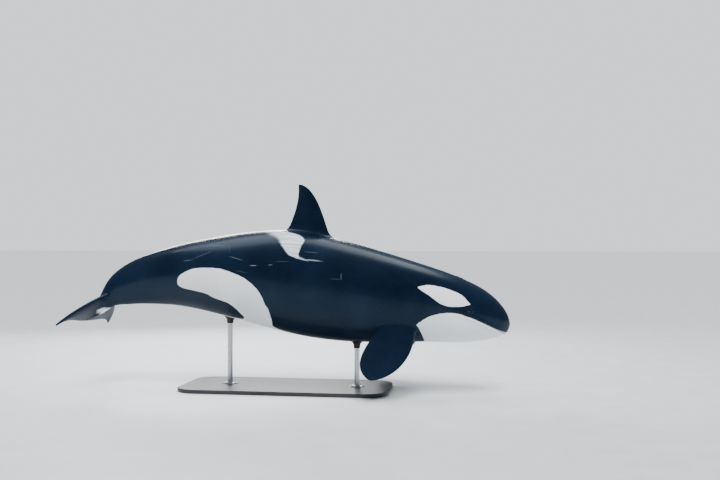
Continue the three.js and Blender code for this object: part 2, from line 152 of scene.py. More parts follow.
def heightsOf(x, z, rounds=8, pace=0.8):
    # steps along the spine to the fraction abreast of each point, and gives the point's height over it there
    fraction = np.interp(-x, [-value for value in spineTable["x"]], shares)
    for _ in range(rounds):
        lean = readSpine("turn", fraction)
        ahead = (x - readSpine("x", fraction)) * np.cos(lean) + (z - readSpine("z", fraction)) * np.sin(lean)
        fraction = np.clip(fraction - pace * ahead / body["length"], 0, 1)
    lean = readSpine("turn", fraction)
    height = (z - readSpine("z", fraction)) * np.cos(lean) - (x - readSpine("x", fraction)) * np.sin(lean)
    return fraction, height


def placesOf(points):
    # fraction and turn of points near the skin, and how far out they are, where 1 is on it
    x, y, z = np.asarray(points, dtype=float).T
    fraction, h = heightsOf(x, z)
    full = fullness(fraction, h > 0)
    up = np.sign(h) * (np.abs(h) / (readSpine("deep", fraction) + tiny)) ** (full / 2)
    out = np.sign(y) * (np.abs(y) / (readSpine("wide", fraction) + tiny)) ** (full / 2)
    return fraction, np.arctan2(out, up) / (2 * math.pi), np.hypot(out, up)


# Fins: edges as curves from root to tip, x toward the leading edge and y outward, as the solids have them
dorsal = {
    "at": 0.467, "pitch": -8, "thick": 0.096, "fillet": 0.08,
    "cellsAlong": 7, "cellsRound": 1, "column": 0,  # the block of faces that gives way to it
    "followSkin": 0.35,  # share of the span over which the rows still follow the body's surface
    "lead": [(0.29, 0), (0.145, 0.25), (0.01, 0.622), (-0.226, 0.602)],
    "trail": [(-0.29, 0), (-0.228, 0.16), (-0.172, 0.4), (-0.226, 0.602)],
}
flipper = {
    "at": 0.232, "side": 0.69, "thick": 0.092, "fillet": 0.055, "twist": -10,
    "cellsAlong": 7, "cellsRound": 1, "column": 12,
    "followSkin": 0.35,
    "hang": {-1: (13, 46), 1: (23, 48)},  # degrees back and out, for the right and the left one
    "lead": [(0.215, 0), (0.36, 0.33), (0.185, 0.79), (-0.075, 0.855)],
    "trail": [(-0.215, 0), (-0.215, 0.22), (-0.44, 0.74), (-0.075, 0.855)],
}
fluke = {
    "dip": 46, "roll": 5, "thick": 0.116,
    "cellsAlong": 9, "cellsRound": 4, "column": 9,
    "followSkin": 0.001,
    "lead": [(0.54, 0), (0.44, 0.24), (0.205, 0.62), (-0.085, 0.7)],
    "trail": [(0.015, 0), (-0.055, 0.2), (0.125, 0.49), (-0.085, 0.7)],
    "notch": [(0.02, 0.7), (0.032, 0), (0.02, -0.7)],  # how far back, and share of the tail's thickness
}
# share of the span, and how far each row has left the body for the fin's own section
blendRows = [(0.012, 0.36), (0.034, 0.72), (0.07, 0.93), (0.12, 1)]
flukeBlendRows = [(0.15, 0.42), (0.2, 0.82), (0.26, 1)]
plainRows = [0.2, 0.3, 0.41, 0.53, 0.65, 0.77, 0.87, 0.94, 0.975]
rowGap = 0.04  # plain rows start this far past the last blended one
finTaper = 0.82  # share of its thickness that a fin loses toward the tip
finThickest = 1 / 3  # where along the chord the section peaks
finEdge = 0.16  # share of an even oval in the section, which keeps its rear edge round


def bezier(points, s):
    a, b, c, d = [Vector(point) for point in points]
    r = 1 - s
    return a * r**3 + b * 3 * r * r * s + c * 3 * r * s * s + d * s**3


def finFrame(root, toLead, span):
    span = span.normalized()
    normal = toLead.cross(span).normalized()
    return {"root": root, "chord": span.cross(normal), "span": span, "normal": normal}


def finPoint(plan, at, s, angle, grow=0.0):
    # angle runs round the section from its leading edge
    c = (1 - math.cos(angle)) / 2
    place = bezier(plan["lead"], s).lerp(bezier(plan["trail"], s), c)
    teardrop = math.sqrt(c / finThickest) * (1 - c) / (1 - finThickest)
    section = teardrop * (1 - finEdge) + abs(math.sin(angle)) * finEdge
    half = plan["thick"] / 2 * (1 - finTaper * s) * section
    side = math.copysign(half, math.sin(angle)) + grow * math.sin(angle)
    return (at["root"] + at["chord"] * (place.x + grow * math.cos(angle))
            + at["span"] * place.y + at["normal"] * side)


def placeFins():
    # each fin with the frame it grows in
    lean = math.radians(dorsal["pitch"])
    forward = Vector((math.cos(lean), 0, math.sin(lean)))
    upward = Vector((-math.sin(lean), 0, math.cos(lean)))
    placed = [{"plan": dorsal, "frame": finFrame(skinPoint(dorsal["at"], 0), forward, upward), "side": 1}]
    for side in (-1, 1):
        back, out = [math.radians(value) for value in flipper["hang"][side]]
        span = Vector((-math.sin(back), side * math.cos(back) * math.sin(out),
                       -math.cos(back) * math.cos(out)))
        toLead = Quaternion(span, -side * math.radians(flipper["twist"])) @ Vector((1, 0, 0))
        root = skinPoint(flipper["at"], side * flipper["side"] / 2)
        placed.append({"plan": flipper, "frame": finFrame(root, toLead, span), "side": side})
    dip = math.radians(fluke["dip"])
    forward = Vector((math.cos(dip), 0, math.sin(dip)))
    tail = Vector((spine[-1][0], 0, spine[-1][1]))
    for side in (-1, 1):
        outward = Quaternion(forward, -math.radians(fluke["roll"])) @ Vector((0, side, 0))
        placed.append({"plan": fluke, "frame": finFrame(tail, forward, outward), "side": side})
    return placed


# The cage: rings of faces from snout to tail, with the fins pulled out of holes in it
def chainEdges(bm, verts):
    return [bm.edges.get(pair) for pair in zip(verts, verts[1:])]


def pullRing(bm, ring, closed=True):
    # extrudes a chain of vertices and gives the new chain in the same order
    edges = chainEdges(bm, ring + ring[:1] if closed else ring)
    made = bmesh.ops.extrude_edge_only(bm, edges=edges)["geom"]
    fresh = {item for item in made if isinstance(item, bmesh.types.BMVert)}
    follow = {}
    for vert in fresh:
        for edge in vert.link_edges:
            if edge.other_vert(vert) not in fresh:
                follow[edge.other_vert(vert)] = vert
    return [follow[vert] for vert in ring]


def ringPlace(i):
    u = i / body["rings"]
    crowded = u - body["crowding"] * math.sin(2 * math.pi * u) / (2 * math.pi)
    return body["firstRing"] + (body["lastRing"] - body["firstRing"]) * crowded


def loftBody(bm):
    # rings of vertices from the snout to the tail
    ring = bmesh.ops.create_circle(bm, segments=body["sides"], radius=1)["verts"]
    rings = [ring]
    for _ in range(body["rings"]):
        ring = pullRing(bm, ring)
        rings.append(ring)
    return rings


def evenPlaces():
    sides = body["sides"]
    turns = [j / sides if j <= sides / 2 else j / sides - 1 for j in range(sides)]
    return [[[ringPlace(i), turn] for turn in turns] for i in range(body["rings"] + 1)]


def firstRow(plan):
    # the ring at the front of a fin's block of faces
    if plan is fluke:
        return body["rings"] - plan["cellsAlong"]
    front = plan["at"] - (plan["lead"][0][0] + plan["fillet"]) / body["length"]
    return min(range(body["rings"] + 1), key=lambda i: abs(ringPlace(i) - front))


def blockLoop(plan, side):
    # rows and columns round the block, from the middle of its front edge over one side and back
    half, long = plan["cellsRound"], plan["cellsAlong"]
    row, middle = firstRow(plan), side * plan["column"]
    front = [(row, middle + k) for k in range(half + 1)]
    edge = [(row + k, middle + half) for k in range(1, long + 1)]
    back = [(row + long, middle + half - k) for k in range(1, half + 1)]
    first = front + edge + back
    second = [(i, 2 * middle - j) for i, j in first[-2:0:-1]]
    return [(i, j % body["sides"]) for i, j in first + second]


def rootBorder(fin, places):
    # the block's border in the direction in which the fin's section is drawn
    border = blockLoop(fin["plan"], fin["side"])
    start, after = [skinPoint(*places[i][j]) for i, j in border[:2]]
    if (after - start).dot(fin["frame"]["normal"]) < 0:
        border = [border[0]] + border[:0:-1]
    return border


def pinRoots(fins, places):
    # places of the roots' borders, on the outlines of the fins
    pinned = {}
    for fin in fins:
        if fin["plan"] is fluke:
            continue
        border = rootBorder(fin, places)
        for k, spot in enumerate(border):
            angle = 2 * math.pi * k / len(border)
            onSkin = finPoint(fin["plan"], fin["frame"], 0, angle, fin["plan"]["fillet"])
            fraction, turn, _ = placesOf([onSkin])
            pinned[spot] = [float(fraction[0]), float(turn[0])]
    # rings at the tail stand where the flukes' sections have their points
    row, half, sides = firstRow(fluke), fluke["cellsRound"], body["sides"]
    count = 2 * (half + fluke["cellsAlong"] + 2)
    lead, trail = fluke["lead"][0][0], fluke["trail"][0][0]
    shareBack = lambda k: (1 - math.cos(2 * math.pi * k / count)) / 2
    chordPlace = lambda k: 1 - (lead + (trail - lead) * shareBack(k)) / body["length"]
    for i in range(row, body["rings"] + 1):
        for j in range(sides):
            pinned[i, j] = [chordPlace(half + i - row), places[i][j][1]]
    for middle in (fluke["column"], sides - fluke["column"]):
        for k in range(-half, half + 1):
            pinned[row, middle + k] = [chordPlace(abs(k)), places[row][middle + k][1]]
    return pinned


def relaxPlaces(places, pinned, rows, rounds=6):
    # evens out the places round the pinned ones
    sides = body["sides"]
    for _ in range(rounds):
        fresh = {}
        for i in rows:
            for j in range(sides):
                if (i, j) in pinned:
                    continue
                fraction, turn = places[i][j]
                around = [places[i][(j - 1) % sides][1], places[i][(j + 1) % sides][1]]
                shift = sum((other - turn + 0.5) % 1 - 0.5 for other in around) / 4
                spread = (places[i - 1][j][0] + places[i + 1][j][0]) / 2
                fresh[i, j] = [(fraction + spread) / 2, turn + (0 if j in (0, sides // 2) else shift)]
        for (i, j), spot in fresh.items():
            places[i][j] = spot


def settlePlaces(fins, margin=3):
    # moves the roots' borders to the fins, and evens out the rows up to a margin before and behind them
    places = evenPlaces()
    pinned = pinRoots(fins, places)
    for (i, j), spot in pinned.items():
        places[i][j] = spot
    rows = set()
    for fin in fins:
        start = firstRow(fin["plan"])
        end = start + fin["plan"]["cellsAlong"] + margin + 1
        rows |= set(range(start - margin, min(body["rings"], end)))
    relaxPlaces(places, pinned, sorted(rows))
    return places


def closeSnout(bm, ring):
    # a grid of faces over the first ring, bulged to the round snout
    quarter = len(ring) // 4
    start = quarter // 2
    turned = lambda first: [ring[(first + k) % len(ring)] for k in range(quarter + 1)]
    edges = chainEdges(bm, turned(-start)) + chainEdges(bm, turned(2 * quarter - start))
    made = bmesh.ops.grid_fill(bm, edges=edges)["faces"]
    inner = {vert for face in made for vert in face.verts} - set(ring)
    first = body["firstRing"]
    tall, broad = float(readSpine("deep", first)), float(readSpine("wide", first))
    centre = Vector((readSpine("x", first), 0, readSpine("z", first)))
    lean = float(readSpine("turn", first))
    toHead = Vector((math.cos(lean), 0, math.sin(lean)))
    up = Vector((-math.sin(lean), 0, math.cos(lean)))
    for vert in inner:
        away = vert.co - centre
        share = min(1, (away.dot(up) / tall) ** 2 + (away.y / broad) ** 2)
        vert.co += toHead * (first * body["length"] * (1 - share) - away.dot(toHead))


def wrapTail(bm, ring):
    # carries the end of the tail round the notch between the flukes, and gives the three chains there
    reach = fluke["column"] - fluke["cellsRound"]
    half = body["sides"] // 2
    top = [ring[j] for j in range(-reach, reach + 1)]
    bottom = [ring[half - j] for j in range(-reach, reach + 1)]
    dip = math.radians(fluke["dip"])
    toHead = Vector((math.cos(dip), 0, math.sin(dip)))
    chains = [top]
    for back, share in fluke["notch"]:
        chain = pullRing(bm, chains[-1], closed=False)
        for vert, over, under in zip(chain, top, bottom):
            vert.co = (over.co + under.co) / 2 - toHead * back + (over.co - under.co) / 2 * share
        chains.append(chain)
    bmesh.ops.bridge_loops(bm, edges=chainEdges(bm, chains[-1]) + chainEdges(bm, bottom))
    return chains[1:]


def rootLoop(fin, rings, border, notch):
    # the vertices round a fin's hole; a fluke's hole also takes in the ends of the notch
    plan = fin["plan"]
    if plan is not fluke:
        return [rings[i][j] for i, j in border]
    row, half, middle = firstRow(plan), plan["cellsRound"], fin["side"] * plan["column"]
    column = lambda k: (middle + k) % body["sides"]

    def path(way):
        front = [rings[row][column(way * k)] for k in range(half + 1)]
        return front + [rings[row + k][column(way * half)] for k in range(1, plan["cellsAlong"] + 1)]

    end = -1 if fin["side"] > 0 else 0
    loop = path(-fin["side"]) + [chain[end] for chain in notch] + path(fin["side"])[:0:-1]
    if (loop[1].co - loop[0].co).dot(fin["frame"]["normal"]) < 0:
        loop = [loop[0]] + loop[:0:-1]
    return loop


def openBlock(bm, fin, rings):
    plan = fin["plan"]
    row, half, middle = firstRow(plan), plan["cellsRound"], fin["side"] * plan["column"]
    block = {rings[i][j % body["sides"]] for i in range(row, row + plan["cellsAlong"] + 1)
             for j in range(middle - half, middle + half + 1)}
    faces = [face for face in bm.faces if all(vert in block for vert in face.verts)]
    bmesh.ops.delete(bm, geom=faces, context="FACES")
    bare = [edge for edge in bm.edges if not edge.link_faces]
    bmesh.ops.delete(bm, geom=bare, context="EDGES")


def growFin(bm, loop, plan, at):
    # pulls the border of a hole out into a fin, row by row, and closes its tip
    firstRows = flukeBlendRows if plan is fluke else blendRows
    rows = firstRows + [(s, 1) for s in plainRows if s > firstRows[-1][0] + rowGap]
    angles = [2 * math.pi * k / len(loop) for k in range(len(loop))]
    start = [vert.co.copy() for vert in loop]
    for s, away in rows:
        loop = pullRing(bm, loop)
        follow = max(0, 1 - s / plan["followSkin"]) ** 2
        for vert, angle, root in zip(loop, angles, start):
            lift = (root - at["root"]).dot(at["span"]) * follow
            vert.co = root.lerp(finPoint(plan, at, s, angle) + at["span"] * lift, away)
    half = len(loop) // 2
    bmesh.ops.bridge_loops(bm, edges=chainEdges(bm, loop[1:half]) + chainEdges(bm, loop[:half:-1]))
    bmesh.ops.contextual_create(bm, geom=[loop[0], loop[1], loop[-1]])
    bmesh.ops.contextual_create(bm, geom=[loop[half], loop[half - 1], loop[half + 1]])


def makeCage(bm, fins):
    rings = loftBody(bm)
    places = settlePlaces(fins)
    borders = [rootBorder(fin, evenPlaces()) for fin in fins]
    for ring, row in zip(rings, places):
        for vert, spot in zip(ring, row):
            vert.co = skinPoint(*spot)
    closeSnout(bm, rings[0])
    notch = wrapTail(bm, rings[-1])
    for fin, border in zip(fins, borders):
        loop = rootLoop(fin, rings, border, notch)
        openBlock(bm, fin, rings)
        growFin(bm, loop, fin["plan"], fin["frame"])
    bmesh.ops.recalc_face_normals(bm, faces=bm.faces)


# Lines on the skin, as fraction and turn on the left side; the right side mirrors them
def smoothLine(points, parts=6, closed=False):
    # a smooth curve through the points
    points = np.array(points, dtype=float)
    count = len(points)
    curve = []
    held = lambda k: k % count if closed else min(max(k, 0), count - 1)
    for i in range(count if closed else count - 1):
        a, b, c, d = [points[held(i + k)] for k in (-1, 0, 1, 2)]
        for t in np.arange(parts) / parts:
            curve.append((2 * b + (c - a) * t + (2 * a - 5 * b + 4 * c - d) * t**2
                          + (3 * b - a - 3 * c + d) * t**3) / 2)
    return np.array(curve if closed else curve + [points[-1]])


def lineGap(points, line, closed=False):
    # distance of each point from a line of straight parts, and how many parts along it is nearest
    square, nearest = np.full(len(points), np.inf), np.zeros(len(points))
    ends = np.roll(line, -1, axis=0) if closed else line[1:]
    for k, (a, b) in enumerate(zip(line, ends)):
        away = points - a
        share = np.clip(away @ (b - a) / ((b - a) @ (b - a) + tinier), 0, 1)
        away -= share[:, None] * (b - a)
        here = np.einsum("ij,ij->i", away, away)
        nearer = here < square
        square[nearer], nearest[nearer] = here[nearer], (k + share)[nearer]
    return np.sqrt(square), nearest


def isInside(x, y, outline):
    # whether each point lies inside a closed outline
    inside = np.zeros(len(x), dtype=bool)
    for (xa, ya), (xb, yb) in zip(outline, np.roll(outline, -1, axis=0)):
        inside ^= ((ya > y) != (yb > y)) & (x < xa + (xb - xa) * (y - ya) / (yb - ya + tinier))
    return inside


def leftHalf(points):
    # the same points, with those of the right side mirrored to the left
    return points * (1, 0, 1) + np.abs(points) * (0, 1, 0)


# Head: the line of the mouth with its lips, the eyes with their lids, and the blowhole
mouth = {
    # x and z from the corner to past the snout
    "line": [(2.316, 1.004), (2.424, 0.972), (2.584, 0.894), (2.724, 0.82), (2.814, 0.775), (2.944, 0.71)],
    "depth": 0.016, "half": 0.0075,  # of the groove, where half is half its width
    "upperLip": 0.006, "lowerLip": 0.011,  # heights of the ridges beside it
    "lipAt": 0.021, "lipHalf": 0.012,  # how far off they stand, and half their width
    "fade": 0.06,  # length over which the groove runs out at the corner
}
blowhole = {
    "at": 0.128, "radius": 0.062, "turn": 150, "points": 9,  # an arc in degrees, open toward the snout
    "depth": 0.014, "half": 0.007, "fade": 0.02,
    "upperLip": 0.006, "lowerLip": 0.006, "lipAt": 0.022, "lipHalf": 0.014,
}
bellySlit = {
    "line": [(0.618, 0.5), (0.652, 0.5)],
    "depth": 0.008, "half": 0.006, "fade": 0.04,
    "upperLip": 0.004, "lowerLip": 0.004, "lipAt": 0.018, "lipHalf": 0.012,
}
eye = {
    "long": 0.031, "tall": 0.02, "tilt": -14,  # half sizes of the opening, and its lean in degrees
    "depth": 0.026, "pocketTo": 1.12, "pocketOver": 0.4,  # hollow for the ball, in shares of the opening
    "rim": 0.0068, "rimAt": 1.38, "rimHalf": 0.42, "rimFrom": 0.8, "rimOver": 0.35,
    "fold": 0.003, "foldAt": 2.5, "foldHalf": 0.3,  # over the upper lid
    "blunt": 1e-4,  # rounds the opening where it crosses its long axis
    "surround": 1.6,  # half lengths round it within which faces are parted
    "cornea": 0.0022, "corneaOver": 1.15, "iris": 0.0155, "pupil": 0.007,
    "segments": 48, "rings": 32,
}
detailReach = (0.038, 0.024, 0.0125)  # how near a detail the faces are parted once, twice and three times
borderReach = 0.014  # the same, once, at the border of white and black
pastBody = 1.1  # a vertex farther out than this, in shares of the body's section, is on a fin


def mouthPlaces():
    # the line of the mouth as fraction and turn, from its corner to the middle of the front
    x, z = smoothLine(mouth["line"], parts=10).T
    fraction, h = heightsOf(x, z)
    up = (np.abs(h) / (readSpine("deep", fraction) + tiny)) ** (fullness(fraction, h > 0) / 2)
    turn = np.arccos(np.clip(np.sign(h) * up, -1, 1)) / (2 * math.pi)
    last = int(np.argmax(up >= 1))
    return [(fraction[k], turn[k]) for k in range(last)] + [(fraction[last], 0.5)]


def blowholePlaces():
    # half of the crescent, from one end to its middle
    places = []
    for angle in np.radians(np.linspace(0, blowhole["turn"] / 2, blowhole["points"])):
        fraction = blowhole["at"] - blowhole["radius"] * (1 - math.cos(angle)) / body["length"]
        turn = math.asin(blowhole["radius"] * math.sin(angle) / readSpine("wide", fraction)) / (2 * math.pi)
        places.append((fraction, turn))
    return places[::-1]


def makeGrooves():
    # each groove with its line on the skin, from the end where it runs out
    mouth["places"] = mouthPlaces()
    blowhole["places"] = blowholePlaces()
    bellySlit["places"] = bellySlit["line"]
    for groove in (mouth, blowhole, bellySlit):
        groove["path"] = skinPoints(*smoothLine(groove["places"], parts=3).T)
    return mouth, blowhole, bellySlit


def eyeFrame(ahead=0.002, around=0.004):
    # middle of the left eye, with directions outward, forward along the lids and up
    low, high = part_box("eye_left")
    centre = (Vector(low) + Vector(high)) / 2
    fraction, turn, _ = placesOf([centre])
    onSkin = lambda df, dt: skinPoint(float(fraction[0]) + df, float(turn[0]) + dt)
    lengthwise = onSkin(-ahead, 0) - onSkin(ahead, 0)
    outward = lengthwise.cross(onSkin(0, around) - onSkin(0, -around)).normalized()
    if outward.y < 0:
        outward.negate()
    forward = Quaternion(outward, math.radians(eye["tilt"])) @ Vector((1, 0, 0))
    forward = (forward - outward * forward.dot(outward)).normalized()
    up = outward.cross(forward)
    if up.z < 0:
        up.negate()
    return centre, outward, forward, up


def pushGroove(points, groove):
    # how far each point moves outward for a groove with a lip on both sides
    gap, nearest = lineGap(points, groove["path"])
    steps = np.concatenate([[0], np.cumsum(np.linalg.norm(np.diff(groove["path"], axis=0), axis=1))])
    parts = np.arange(len(groove["path"]))
    fromEnd = np.interp(nearest, parts, steps)
    isLower = points[:, 2] < np.interp(nearest, parts, groove["path"][:, 2])
    lip = np.where(isLower, groove["lowerLip"], groove["upperLip"])
    ridge = lip * np.exp(-((gap - groove["lipAt"]) / groove["lipHalf"]) ** 2)
    sunk = groove["depth"] * np.exp(-(gap / groove["half"]) ** 2)
    return (ridge - sunk) * softStep(fromEnd / groove["fade"])


def softStep(value):
    held = np.clip(value, 0, 1)
    return held * held * (3 - 2 * held)


def pushLids(points, at):
    # how far each point moves outward for the rim of the lids, the fold over them and the hollow between
    centre, outward, forward, up = [np.array(part) for part in at]
    away = points - centre
    a, b = away @ forward, away @ up
    almond = np.sqrt((b / eye["tall"]) ** 2 + eye["blunt"]) + (a / eye["long"]) ** 2
    ring = np.sqrt((b / eye["tall"]) ** 2 + (a / eye["long"]) ** 2)
    rim = eye["rim"] * np.exp(-((ring - eye["rimAt"]) / eye["rimHalf"]) ** 2)
    fold = eye["fold"] * np.exp(-((ring - eye["foldAt"]) / eye["foldHalf"]) ** 2) * softStep(b / eye["tall"])
    raised = rim * softStep((almond - eye["rimFrom"]) / eye["rimOver"])
    sunk = eye["depth"] * softStep((eye["pocketTo"] - almond) / eye["pocketOver"])
    inFront = away @ outward > -2 * eye["long"]
    return np.where(inFront, raised - fold - sunk, 0)


def onlyOnce(items):
    # drops repeats and keeps the order, which a set would change from run to run
    return list(dict.fromkeys(items))


def partFaces(bm, near, rounds=3):
    # cuts the faces whose vertices are all near in four, and rounds them
    inside = [face for face in bm.faces if all(near[vert.index] for vert in face.verts)]
    edges = onlyOnce(edge for face in inside for edge in face.edges)
    made = bmesh.ops.subdivide_edges(bm, edges=edges, cuts=1, use_grid_fill=True)["geom_inner"]
    fresh = onlyOnce(item for item in made if isinstance(item, bmesh.types.BMVert))
    for _ in range(rounds):
        bmesh.ops.smooth_vert(bm, verts=fresh, factor=0.5,
                              use_axis_x=True, use_axis_y=True, use_axis_z=True)


def refineSkin(bm, grooves, at):
    # finer faces where white meets black, and three times over at the grooves and the eyes
    for step, reach in enumerate(detailReach):
        points = leftHalf(vertPoints(bm))
        near = np.linalg.norm(points - np.array(at[0]), axis=1) < reach + eye["long"] * eye["surround"]
        for groove in grooves:
            near |= lineGap(points, groove["path"])[0] < reach
        if step == 0:
            fraction, turn, outness = placesOf(points)
            for outline in (whiteOutline(), eyePatch):
                gap = markGap(points, (fraction, turn), outline)
                near |= (np.abs(gap) < borderReach) & (outness < pastBody)
        partFaces(bm, near)
    bmesh.ops.recalc_face_normals(bm, faces=bm.faces)


def vertPoints(bm):
    bm.verts.index_update()
    return np.array([vert.co for vert in bm.verts])


def vertNormals(bm):
    bm.normal_update()
    return np.array([vert.normal for vert in bm.verts])


# Marks: outlines as fraction and turn, smoothed; the saddle crosses the back behind the fin
eyePatch = [
    (0.2, 0.18), (0.193, 0.168), (0.178, 0.155), (0.147, 0.1486), (0.1136, 0.1556), (0.099, 0.1765),
    (0.0913, 0.189), (0.099, 0.202), (0.108, 0.2147), (0.132, 0.229), (0.152, 0.224), (0.174, 0.203),
]
throatEdge = [
    (0.0965, 0.2525), (0.1066, 0.2507), (0.127, 0.253), (0.147, 0.2616), (0.1665, 0.277), (0.176, 0.29),
    (0.1836, 0.304), (0.192, 0.3186), (0.1885, 0.33), (0.183, 0.351), (0.177, 0.385), (0.173, 0.42),
    (0.174, 0.448), (0.186, 0.469),
]
bellyEdge = [(0.22, 0.478), (0.3, 0.479), (0.38, 0.474), (0.45, 0.462), (0.49, 0.446)]
flankEdge = [
    (0.505, 0.424), (0.504, 0.402), (0.505, 0.38), (0.5116, 0.339), (0.519, 0.326), (0.5286, 0.2976),
    (0.543, 0.274), (0.5675, 0.251), (0.591, 0.236), (0.627, 0.218), (0.651, 0.2145), (0.675, 0.2135),
    (0.694, 0.2165), (0.7036, 0.223), (0.7158, 0.234), (0.7258, 0.25), (0.731, 0.278), (0.7307, 0.299),
    (0.7238, 0.3095), (0.714, 0.316), (0.686, 0.322), (0.659, 0.328), (0.648, 0.338), (0.629, 0.345),
    (0.612, 0.35), (0.603, 0.358), (0.592, 0.373), (0.584, 0.391), (0.5766, 0.413), (0.585, 0.44),
    (0.62, 0.455), (0.66, 0.465), (0.69, 0.48), (0.7, 0.5),
]
saddlePatch = [
    (0.556, -0.06), (0.5545, 0.002), (0.534, 0.06), (0.518, 0.085), (0.51, 0.103), (0.5035, 0.122),
    (0.4945, 0.1415), (0.4862, 0.156), (0.4762, 0.164), (0.4665, 0.1675), (0.459, 0.168), (0.4605, 0.1635),
    (0.4645, 0.1567), (0.465, 0.1462), (0.4645, 0.1315), (0.4645, 0.1167), (0.4625, 0.0992), (0.4645, 0.0845),
    (0.4725, 0.0675), (0.4842, 0.0545), (0.5, 0.043), (0.52, 0.0235), (0.524, -0.06),
]
pastMiddle = 0.56  # the white outline runs over the middle of the belly, so that its halves meet
saddleFade = {"at": [0.47, 0.5, 0.55], "metres": [0.011, 0.016, 0.085]}  # its edge is softer behind
offBody = {"from": 1.05, "metres": 0.6}  # white and saddle end where a fin leaves the body's section
# the pale field under each fluke, and the black of painted shade over the rest of the underside's white
flukePaleAndShade = {
    "border": 0.155,  # metres between the fluke's edge and the pale field under it, at the tail; this black border is wider than the real dark margin, as painted shade on the white underside
    "tipShadeBorder": 2.0,  # how much wider that border grows toward the tip, so that painted shade covers most of the underside's white
    "forward": 0.75,  # under 1 it keeps the field farther from the rear edge
    "softness": 0.1, "outside": -0.05,
    "steps": 25,
}
# streaks pass from the body's direction to the flukes' over these fractions
flowLines = {"sideways": 0.4, "flukesFrom": 0.9, "flukesOver": 0.06}
# pale scars: fraction and turn of both ends, width in metres, strength; a negative turn is the right side
hook = [(0.478, 0.1618, 0.44, 0.1712, 0.021, 0.95), (0.456, 0.17, 0.408, 0.161, 0.012, 0.75)]
scars = [(f1, side * t1, f2, side * t2, width, strength)
         for side in (-1, 1) for f1, t1, f2, t2, width, strength in hook]  # both tips of the saddle
scars += [
    (0.7, -0.1745, 0.644, -0.1335, 0.006, 0.22), (0.72, -0.1722, 0.692, -0.1735, 0.007, 0.25),
    (0.614, -0.1675, 0.573, -0.1892, 0.006, 0.25), (0.562, -0.2052, 0.543, -0.204, 0.009, 0.45),
    (0.522, -0.2004, 0.51, -0.198, 0.008, 0.35), (0.512, -0.1892, 0.474, -0.182, 0.007, 0.12),
    (0.3645, -0.183, 0.3605, -0.212, 0.006, 0.3), (0.39, -0.2132, 0.356, -0.2055, 0.006, 0.13),
    (0.46, -0.1422, 0.42, -0.1332, 0.006, 0.22), (0.617, -0.1105, 0.608, -0.161, 0.006, 0.1),
    (0.694, -0.062, 0.67, -0.079, 0.006, 0.2), (0.752, -0.1068, 0.716, -0.1032, 0.006, 0.22),
    (0.676, -0.0984, 0.618, -0.121, 0.006, 0.18), (0.595, -0.2222, 0.56, -0.2325, 0.006, 0.14),
    (0.308, -0.013, 0.296, -0.042, 0.008, 0.25), (0.452, 0.13, 0.405, 0.138, 0.006, 0.25),
    (0.65, 0.146, 0.59, 0.175, 0.006, 0.25), (0.33, 0.205, 0.318, 0.228, 0.007, 0.28),
    (0.225, 0.092, 0.2, 0.085, 0.007, 0.2), (0.56, 0.196, 0.52, 0.19, 0.006, 0.2),
]


def markGap(points, places, outline):
    # metres from a mark's border, above zero inside it
    border = smoothLine(outline, parts=4, closed=True)
    gap, _ = lineGap(points, skinPoints(*border.T), closed=True)
    return np.where(isInside(places[0], places[1], border), gap, -gap)


def whiteOutline():
    # the white of chin, throat, belly and flank as one outline
    front = mouth["places"][-1][0]
    side = mouth["places"][::-1] + throatEdge + bellyEdge + flankEdge
    return side + [(side[-1][0], pastMiddle), (0.35, pastMiddle), (front, pastMiddle)]


def flukeUnderside(points, normals, fins):
    # metres inside the pale field below each fluke, which is kept small so that painted shade covers the rest
    # of the white underside
    best = np.full(len(points), -1.0)
    for fin in fins:
        if fin["plan"] is not fluke:
            continue
        at = {name: np.array(part) for name, part in fin["frame"].items()}
        flat = np.stack([(points - at["root"]) @ at["chord"], (points - at["root"]) @ at["span"]], axis=1)
        steps = np.linspace(0, 1, flukePaleAndShade["steps"])
        lead, trail = [np.array([bezier(fluke[name], s) for s in steps])[:, :2] for name in ("lead", "trail")]
        gap = np.minimum(lineGap(flat, lead)[0], flukePaleAndShade["forward"] * lineGap(flat, trail)[0])
        within = isInside(flat[:, 0], flat[:, 1], np.concatenate([lead, trail[::-1]]))
        toTip = np.clip(flat[:, 1] / fluke["lead"][-1][1], 0, 1)
        border = flukePaleAndShade["border"] + flukePaleAndShade["tipShadeBorder"] * toTip ** 2
        upper = at["normal"] * np.sign(at["normal"][2])
        isUnder = (normals @ upper < 0) & within
        pale = np.where(isUnder, (gap - border) * flukePaleAndShade["softness"], flukePaleAndShade["outside"])
        best = np.maximum(best, pale)
    return best


def flowOf(points, places, fins):
    # metres along the body and round it, in which fine streaks run lengthwise
    fraction, turn, _ = places
    girth = np.pi * (readSpine("deep", fraction) + readSpine("wide", fraction))
    sideways = flowLines["sideways"] * points[:, 1]
    onBody = np.stack([fraction * body["length"], np.abs(turn) * girth, sideways], axis=1)
    at = fins[-1]["frame"]
    forward = (points - np.array(at["root"])) @ np.array(at["chord"])
    onFluke = np.stack([body["length"] - forward, np.abs(points[:, 1]), sideways], axis=1)
    isTail = softStep((fraction - flowLines["flukesFrom"]) / flowLines["flukesOver"])[:, None]
    return onBody * (1 - isTail) + onFluke * isTail


